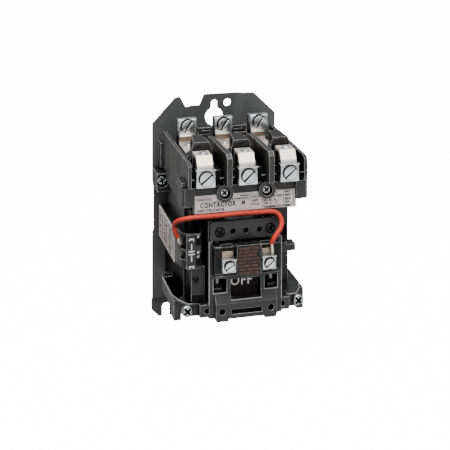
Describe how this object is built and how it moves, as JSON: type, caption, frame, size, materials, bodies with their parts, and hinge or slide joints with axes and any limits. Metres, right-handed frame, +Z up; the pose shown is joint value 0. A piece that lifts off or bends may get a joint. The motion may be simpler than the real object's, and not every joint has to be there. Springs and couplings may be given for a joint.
{
  "type": "magnetic motor starter",
  "caption": "Three-pole magnetic motor starter contactor on a steel mounting plate, with screw terminals, coil, auxiliary contact and OFF/ON flag.",
  "frame": {"origin": "centre of the rear face of the mounting plate, which lies on the wall", "axes": "+X to the right seen from the front, +Y into the wall, +Z up"},
  "size_m": [0.0924, 0.104, 0.1562],
  "materials": {
    "plate_paint": "satin black paint on sheet steel",
    "moulding": "black moulded thermoset, semi-matt",
    "coil_moulding": "black encapsulated coil, semi-matt",
    "carrier_moulding": "dark grey moulding",
    "label_stock": "pale printed label",
    "flag_moulding": "black with white marking",
    "strap_metal": "tin-plated copper",
    "zinc_steel": "zinc-plated steel",
    "dark_screw": "blackened steel",
    "contact_copper": "bare copper",
    "spring_steel": "bright spring wire",
    "magnet_steel": "laminated electrical steel",
    "lead_insulation": "orange-red insulation"
  },
  "bodies": {
    "base": {"arc_hoods": "moulding", "aux_contacts": "strap_metal", "aux_foot_screw": "dark_screw", "aux_housing": "moulding", "aux_screws": "zinc_steel", "aux_spring": "spring_steel", "back_plate": "plate_paint", "base_housing": "moulding", "base_screws": "zinc_steel", "coil_body": "coil_moulding", "coil_straps": "strap_metal", "coil_winding": "contact_copper", "contact_block": "moulding", "control_lead": "lead_insulation", "cover_screws": "zinc_steel", "front_cover": "moulding", "guide_pins": "zinc_steel", "kickout_springs": "spring_steel", "lead_ends": "contact_copper", "line_strap_screws": "zinc_steel", "line_straps": "strap_metal", "load_strap_screws": "zinc_steel", "load_straps": "strap_metal", "magnet_yoke": "magnet_steel", "nameplate": "label_stock", "plate_screws": "zinc_steel", "retainer_screws": "dark_screw", "retainer_strip": "moulding", "shading_rings": "contact_copper", "side_label": "label_stock", "side_screws": "zinc_steel"},
    "crossbar": {"crossbar": "carrier_moulding", "armature": "magnet_steel", "armature_pin": "zinc_steel", "indicator_flag": "flag_moulding", "contact_spring_left": "spring_steel", "contact_spring_centre": "spring_steel", "contact_spring_right": "spring_steel"},
    "aux_plunger": {"aux_plunger": "carrier_moulding", "aux_bridge": "contact_copper"},
    "bridge_left": {"contact_bridge_left": "contact_copper"},
    "bridge_centre": {"contact_bridge_centre": "contact_copper"},
    "bridge_right": {"contact_bridge_right": "contact_copper"},
    "line_clamp_left": {"line_clamp_left": "zinc_steel"},
    "line_screw_left": {"line_screw_left": "zinc_steel"},
    "line_clamp_centre": {"line_clamp_centre": "zinc_steel"},
    "line_screw_centre": {"line_screw_centre": "zinc_steel"},
    "line_clamp_right": {"line_clamp_right": "zinc_steel"},
    "line_screw_right": {"line_screw_right": "zinc_steel"},
    "load_clamp_left": {"load_clamp_left": "zinc_steel"},
    "load_screw_left": {"load_screw_left": "zinc_steel"},
    "load_clamp_centre": {"load_clamp_centre": "zinc_steel"},
    "load_screw_centre": {"load_screw_centre": "zinc_steel"},
    "load_clamp_right": {"load_clamp_right": "zinc_steel"},
    "load_screw_right": {"load_screw_right": "zinc_steel"},
    "coil_clamp_left": {"coil_clamp_left": "zinc_steel"},
    "coil_screw_left": {"coil_screw_left": "zinc_steel"},
    "coil_clamp_right": {"coil_clamp_right": "zinc_steel"},
    "coil_screw_right": {"coil_screw_right": "zinc_steel"}
  },
  "joints": [
    {"name": "crossbar_lift", "type": "slide", "parent": "base", "child": "crossbar", "axis": [0, 0, 1], "range_m": [0, 0.0065], "deforming": ["kickout_springs"]},
    {"name": "bridge_left_overtravel", "type": "slide", "parent": "crossbar", "child": "bridge_left", "axis": [0, 0, 1], "range_m": [-0.0015, 0], "deforming": ["contact_spring_left"]},
    {"name": "bridge_centre_overtravel", "type": "slide", "parent": "crossbar", "child": "bridge_centre", "axis": [0, 0, 1], "range_m": [-0.0015, 0], "deforming": ["contact_spring_centre"]},
    {"name": "bridge_right_overtravel", "type": "slide", "parent": "crossbar", "child": "bridge_right", "axis": [0, 0, 1], "range_m": [-0.0015, 0], "deforming": ["contact_spring_right"]},
    {"name": "aux_plunger_lift", "type": "slide", "parent": "base", "child": "aux_plunger", "axis": [0, 0, 1], "range_m": [0, 0.0065], "deforming": ["aux_spring"]},
    {"name": "line_clamp_left_open", "type": "slide", "parent": "base", "child": "line_clamp_left", "axis": [0, -1, 0], "range_m": [0, 0.0028]},
    {"name": "line_screw_left_turn", "type": "hinge", "parent": "line_clamp_left", "child": "line_screw_left", "pos_m": [-0.0257, -0.1, 0.0644], "axis": [0, -1, 0], "range_deg": [0, 1440.1]},
    {"name": "line_clamp_centre_open", "type": "slide", "parent": "base", "child": "line_clamp_centre", "axis": [0, -1, 0], "range_m": [0, 0.0028]},
    {"name": "line_screw_centre_turn", "type": "hinge", "parent": "line_clamp_centre", "child": "line_screw_centre", "pos_m": [0, -0.1, 0.0644], "axis": [0, -1, 0], "range_deg": [0, 1440.1]},
    {"name": "line_clamp_right_open", "type": "slide", "parent": "base", "child": "line_clamp_right", "axis": [0, -1, 0], "range_m": [0, 0.0028]},
    {"name": "line_screw_right_turn", "type": "hinge", "parent": "line_clamp_right", "child": "line_screw_right", "pos_m": [0.0257, -0.1, 0.0644], "axis": [0, -1, 0], "range_deg": [0, 1440.1]},
    {"name": "load_clamp_left_open", "type": "slide", "parent": "base", "child": "load_clamp_left", "axis": [0, -1, 0], "range_m": [0, 0.0028]},
    {"name": "load_screw_left_turn", "type": "hinge", "parent": "load_clamp_left", "child": "load_screw_left", "pos_m": [-0.028, -0.1, 0.0476], "axis": [0, -1, 0], "range_deg": [0, 1440.1]},
    {"name": "load_clamp_centre_open", "type": "slide", "parent": "base", "child": "load_clamp_centre", "axis": [0, -1, 0], "range_m": [0, 0.0028]},
    {"name": "load_screw_centre_turn", "type": "hinge", "parent": "load_clamp_centre", "child": "load_screw_centre", "pos_m": [0, -0.1, 0.0476], "axis": [0, -1, 0], "range_deg": [0, 1440.1]},
    {"name": "load_clamp_right_open", "type": "slide", "parent": "base", "child": "load_clamp_right", "axis": [0, -1, 0], "range_m": [0, 0.0028]},
    {"name": "load_screw_right_turn", "type": "hinge", "parent": "load_clamp_right", "child": "load_screw_right", "pos_m": [0.028, -0.1, 0.0476], "axis": [0, -1, 0], "range_deg": [0, 1440.1]},
    {"name": "coil_clamp_left_open", "type": "slide", "parent": "base", "child": "coil_clamp_left", "axis": [0, -1, 0], "range_m": [0, 0.002]},
    {"name": "coil_screw_left_turn", "type": "hinge", "parent": "coil_clamp_left", "child": "coil_screw_left", "pos_m": [-0.0133, -0.1, -0.0086], "axis": [0, -1, 0], "range_deg": [0, 1440.1]},
    {"name": "coil_clamp_right_open", "type": "slide", "parent": "base", "child": "coil_clamp_right", "axis": [0, -1, 0], "range_m": [0, 0.002]},
    {"name": "coil_screw_right_turn", "type": "hinge", "parent": "coil_clamp_right", "child": "coil_screw_right", "pos_m": [0.0133, -0.1, -0.0086], "axis": [0, -1, 0], "range_deg": [0, 1440.1]}
  ],
  "couplings": [
    {"joint": "bridge_left_overtravel", "follows": "crossbar_lift", "ratio": -0.2307},
    {"joint": "bridge_centre_overtravel", "follows": "crossbar_lift", "ratio": -0.2307},
    {"joint": "bridge_right_overtravel", "follows": "crossbar_lift", "ratio": -0.2307},
    {"joint": "aux_plunger_lift", "follows": "crossbar_lift", "ratio": 1},
    {"joint": "line_screw_left_turn", "follows": "line_clamp_left_open", "rad_per_m": 8976},
    {"joint": "line_screw_centre_turn", "follows": "line_clamp_centre_open", "rad_per_m": 8976},
    {"joint": "line_screw_right_turn", "follows": "line_clamp_right_open", "rad_per_m": 8976},
    {"joint": "load_screw_left_turn", "follows": "load_clamp_left_open", "rad_per_m": 8976},
    {"joint": "load_screw_centre_turn", "follows": "load_clamp_centre_open", "rad_per_m": 8976},
    {"joint": "load_screw_right_turn", "follows": "load_clamp_right_open", "rad_per_m": 8976},
    {"joint": "coil_screw_left_turn", "follows": "coil_clamp_left_open", "rad_per_m": 12566},
    {"joint": "coil_screw_right_turn", "follows": "coil_clamp_right_open", "rad_per_m": 12566}
  ]
}
